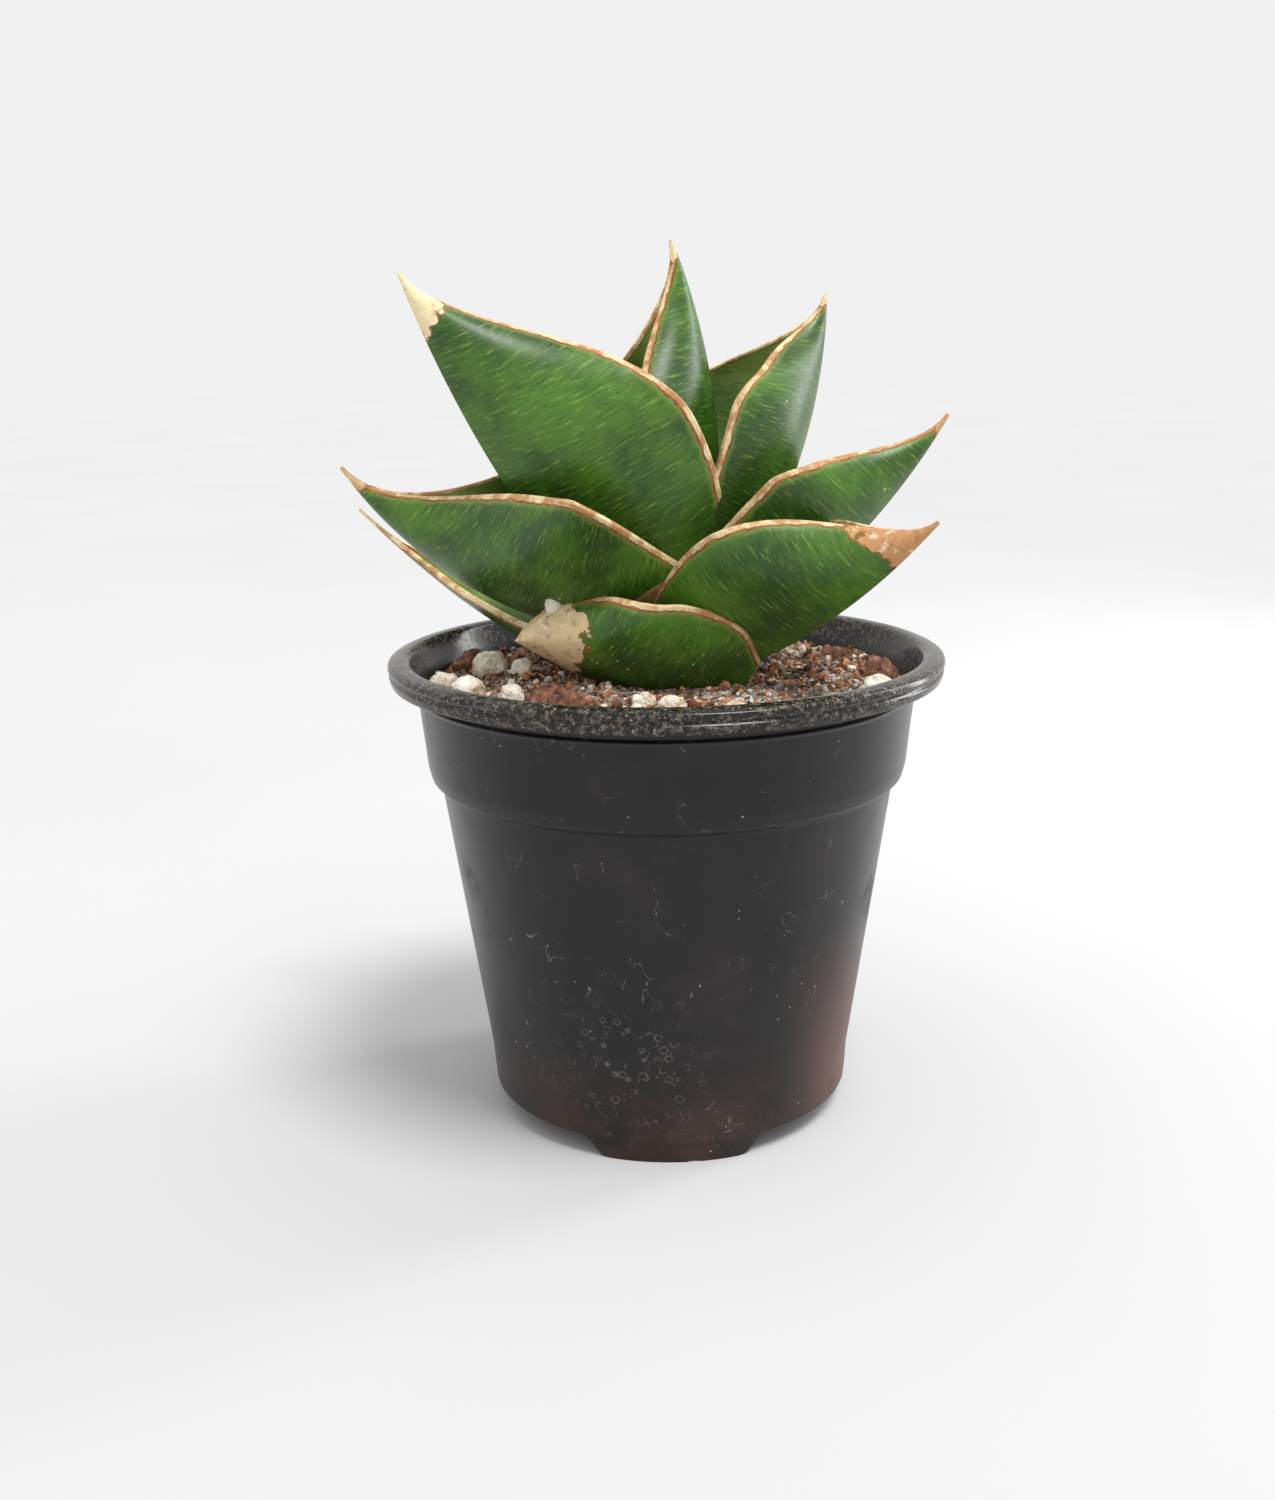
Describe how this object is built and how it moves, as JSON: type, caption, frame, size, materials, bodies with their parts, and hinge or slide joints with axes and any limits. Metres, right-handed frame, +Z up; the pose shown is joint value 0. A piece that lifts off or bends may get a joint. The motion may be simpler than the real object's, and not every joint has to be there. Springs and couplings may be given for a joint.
{
  "type": "potted snake plant",
  "caption": "Dwarf boat-leaved snake plant: thick keeled leaves clasping a short stem, in gritty soil in a black tapered nursery pot with a collar and rolled rim.",
  "frame": {"origin": "on the surface the pot stands on, under the middle of the whole outline", "axes": "+Z up; +X to the viewer's right in the picture's view, which looks along +Y"},
  "size_m": [0.1188, 0.105, 0.1635],
  "materials": {
    "pot_plastic": "black moulded plastic, satin, dusty",
    "soil_mix": "gritty grey-brown potting mix",
    "stem_tissue": "pale dry stem",
    "leaf_tissue": "waxy deep green with a cream and red-brown margin",
    "white_stone": "matt white perlite",
    "bark": "rough reddish-brown bark"
  },
  "bodies": {
    "root": {"pot": "pot_plastic", "soil": "soil_mix", "stem": "stem_tissue", "leaf_left_back_low": "leaf_tissue", "leaf_front_left_short": "leaf_tissue", "leaf_right_front_low": "leaf_tissue", "leaf_left_middle": "leaf_tissue", "leaf_right_middle": "leaf_tissue", "leaf_right_upper": "leaf_tissue", "leaf_left_upper": "leaf_tissue", "leaf_centre_upright": "leaf_tissue", "stone_white_01": "white_stone", "stone_white_02": "white_stone", "stone_white_03": "white_stone", "stone_white_04": "white_stone", "stone_white_05": "white_stone", "stone_white_06": "white_stone", "stone_white_07": "white_stone", "stone_white_08": "white_stone", "stone_white_09": "white_stone", "stone_white_10": "white_stone", "stone_white_11": "white_stone", "stone_white_12": "white_stone", "bark_chip_1": "bark", "bark_chip_2": "bark", "bark_chip_3": "bark", "bark_chip_4": "bark", "bark_chip_5": "bark", "bark_chip_6": "bark", "bark_chip_7": "bark"}
  },
  "joints": []
}
